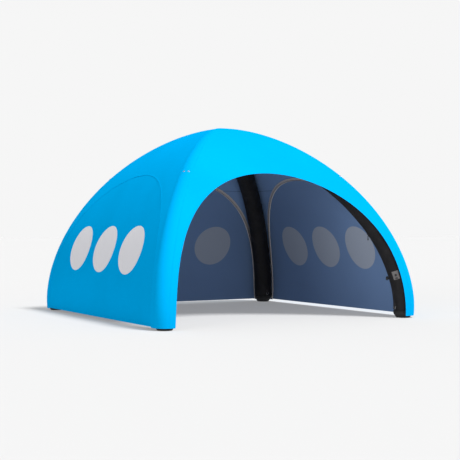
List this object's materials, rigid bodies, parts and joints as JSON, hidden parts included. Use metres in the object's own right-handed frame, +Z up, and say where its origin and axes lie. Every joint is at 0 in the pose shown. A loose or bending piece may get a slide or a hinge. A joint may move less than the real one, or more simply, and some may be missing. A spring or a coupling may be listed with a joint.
{
  "type": "inflatable arch tent",
  "caption": "Square inflatable dome tent on curved air-beam legs, with zip-in fabric walls on three sides, an open arched front and a built-in pump.",
  "frame": {"origin": "on the floor, at the centre of the square footprint", "axes": "+Z up, the open arched side faces -Y, +X to the right of someone looking in along +Y"},
  "size_m": [4.008, 4.008, 2.7048],
  "materials": {
    "canopy_fabric": "matte woven polyester",
    "wall_fabric": "matte woven polyester",
    "sleeve_fabric": "coarse ballistic weave",
    "bladder_film": "film-coated airtight fabric",
    "rubber_black": "matte",
    "plastic_black": "fine moulded grain",
    "plastic_grey": "fine moulded grain",
    "tape_grey": "woven zip tape",
    "webbing": "ribbed webbing",
    "ring_steel": "satin"
  },
  "bodies": {
    "tent": {"air_bladder_front_left": "bladder_film", "air_bladder_front_right": "bladder_film", "air_bladder_rear_left": "bladder_film", "air_bladder_rear_right": "bladder_film", "air_sleeve_front_left": "sleeve_fabric", "air_sleeve_front_right": "sleeve_fabric", "air_sleeve_rear_left": "sleeve_fabric", "air_sleeve_rear_right": "sleeve_fabric", "anchor_tab_front_left": "webbing", "anchor_tab_front_right": "webbing", "anchor_tab_rear_left": "webbing", "anchor_tab_rear_right": "webbing", "battery_pack": "plastic_grey", "control_panel": "plastic_grey", "crown_chamber": "sleeve_fabric", "crown_cover": "canopy_fabric", "foot_cap_front_left": "rubber_black", "foot_cap_front_right": "rubber_black", "foot_cap_rear_left": "rubber_black", "foot_cap_rear_right": "rubber_black", "front_binding": "tape_grey", "guy_patch_front_left": "canopy_fabric", "guy_patch_front_right": "canopy_fabric", "guy_patch_rear_left": "canopy_fabric", "guy_patch_rear_right": "canopy_fabric", "leg_cover_front_left": "canopy_fabric", "leg_cover_front_right": "canopy_fabric", "leg_cover_rear_left": "canopy_fabric", "leg_cover_rear_right": "canopy_fabric", "loop_tab": "webbing", "pump_unit": "plastic_black", "relief_valve": "plastic_black", "roof_panel_front": "canopy_fabric", "roof_panel_left": "canopy_fabric", "roof_panel_rear": "canopy_fabric", "roof_panel_right": "canopy_fabric", "valve_body": "plastic_black", "wall_left": "wall_fabric", "wall_rear": "wall_fabric", "wall_right": "wall_fabric", "zip_tape_left": "tape_grey", "zip_tape_rear": "tape_grey", "zip_tape_right": "tape_grey"},
    "power_button": {"power_button": "plastic_black"},
    "port_cover": {"port_cover": "plastic_black"},
    "valve_cap": {"valve_cap": "plastic_black"},
    "accessory_loop": {"accessory_loop": "plastic_black"},
    "anchor_ring_front_left": {"anchor_ring_front_left": "ring_steel"},
    "anchor_ring_front_right": {"anchor_ring_front_right": "ring_steel"},
    "anchor_ring_rear_right": {"anchor_ring_rear_right": "ring_steel"},
    "anchor_ring_rear_left": {"anchor_ring_rear_left": "ring_steel"},
    "zip_slider_left": {"zip_slider_left": "plastic_black"},
    "zip_slider_rear": {"zip_slider_rear": "plastic_black"},
    "zip_slider_right": {"zip_slider_right": "plastic_black"},
    "zip_pull_left": {"zip_pull_left": "tape_grey"},
    "zip_pull_rear": {"zip_pull_rear": "tape_grey"},
    "zip_pull_right": {"zip_pull_right": "tape_grey"}
  },
  "joints": [
    {"name": "power_press", "type": "slide", "parent": "tent", "child": "power_button", "axis": [0.7611, 0.6482, 0.0242], "range_m": [0, 0.003], "stiffness_N_per_m": 500, "springref_m": -0.002},
    {"name": "port_cover_flip", "type": "hinge", "parent": "tent", "child": "port_cover", "pos_m": [1.6983, -1.89955, 0.56092], "axis": [-0.6153, 0.7333, -0.2891], "range_deg": [0, 110]},
    {"name": "valve_cap_flip", "type": "hinge", "parent": "tent", "child": "valve_cap", "pos_m": [1.6943, -1.6943, 0.56785], "axis": [0.7071, 0.7071, 0], "range_deg": [0, 130]},
    {"name": "accessory_loop_swing", "type": "hinge", "parent": "tent", "child": "accessory_loop", "pos_m": [1.50841, -1.50841, 1.12518], "axis": [0.7071, 0.7071, 0], "range_deg": [-15, 120]},
    {"name": "anchor_ring_front_left_swing", "type": "hinge", "parent": "tent", "child": "anchor_ring_front_left", "pos_m": [-1.8519, -1.70831, 0.15592], "axis": [0.998, 0, -0.0636], "range_deg": [-4, 150]},
    {"name": "anchor_ring_front_right_swing", "type": "hinge", "parent": "tent", "child": "anchor_ring_front_right", "pos_m": [1.70831, -1.8519, 0.15592], "axis": [0, 0.998, -0.0636], "range_deg": [-4, 150]},
    {"name": "anchor_ring_rear_right_swing", "type": "hinge", "parent": "tent", "child": "anchor_ring_rear_right", "pos_m": [1.8519, 1.70831, 0.15592], "axis": [-0.998, 0, -0.0636], "range_deg": [-4, 150]},
    {"name": "anchor_ring_rear_left_swing", "type": "hinge", "parent": "tent", "child": "anchor_ring_rear_left", "pos_m": [-1.70831, 1.8519, 0.15592], "axis": [0, -0.998, -0.0636], "range_deg": [-4, 150]},
    {"name": "zip_slider_left_run", "type": "hinge", "parent": "tent", "child": "zip_slider_left", "pos_m": [-0.52733, -0.69794, 0.09994], "axis": [-0.5951, 0.8031, -0.03], "range_deg": [0, 15.8]},
    {"name": "zip_pull_left_swing", "type": "hinge", "parent": "zip_slider_left", "child": "zip_pull_left", "pos_m": [-1.97443, -1.77845, 0.11623], "axis": [1, -0.0006, 0.0087], "range_deg": [0, 150]},
    {"name": "zip_slider_rear_run", "type": "hinge", "parent": "tent", "child": "zip_slider_rear", "pos_m": [-0.69794, 0.52733, 0.09994], "axis": [0.8031, 0.5951, -0.03], "range_deg": [0, 15.8]},
    {"name": "zip_pull_rear_swing", "type": "hinge", "parent": "zip_slider_rear", "child": "zip_pull_rear", "pos_m": [-1.77845, 1.97443, 0.11623], "axis": [-0.0006, -1, 0.0087], "range_deg": [0, 150]},
    {"name": "zip_slider_right_run", "type": "hinge", "parent": "tent", "child": "zip_slider_right", "pos_m": [0.52733, 0.69794, 0.09994], "axis": [0.5951, -0.8031, -0.03], "range_deg": [0, 15.8]},
    {"name": "zip_pull_right_swing", "type": "hinge", "parent": "zip_slider_right", "child": "zip_pull_right", "pos_m": [1.97443, 1.77845, 0.11623], "axis": [-1, 0.0006, 0.0087], "range_deg": [0, 150]}
  ]
}
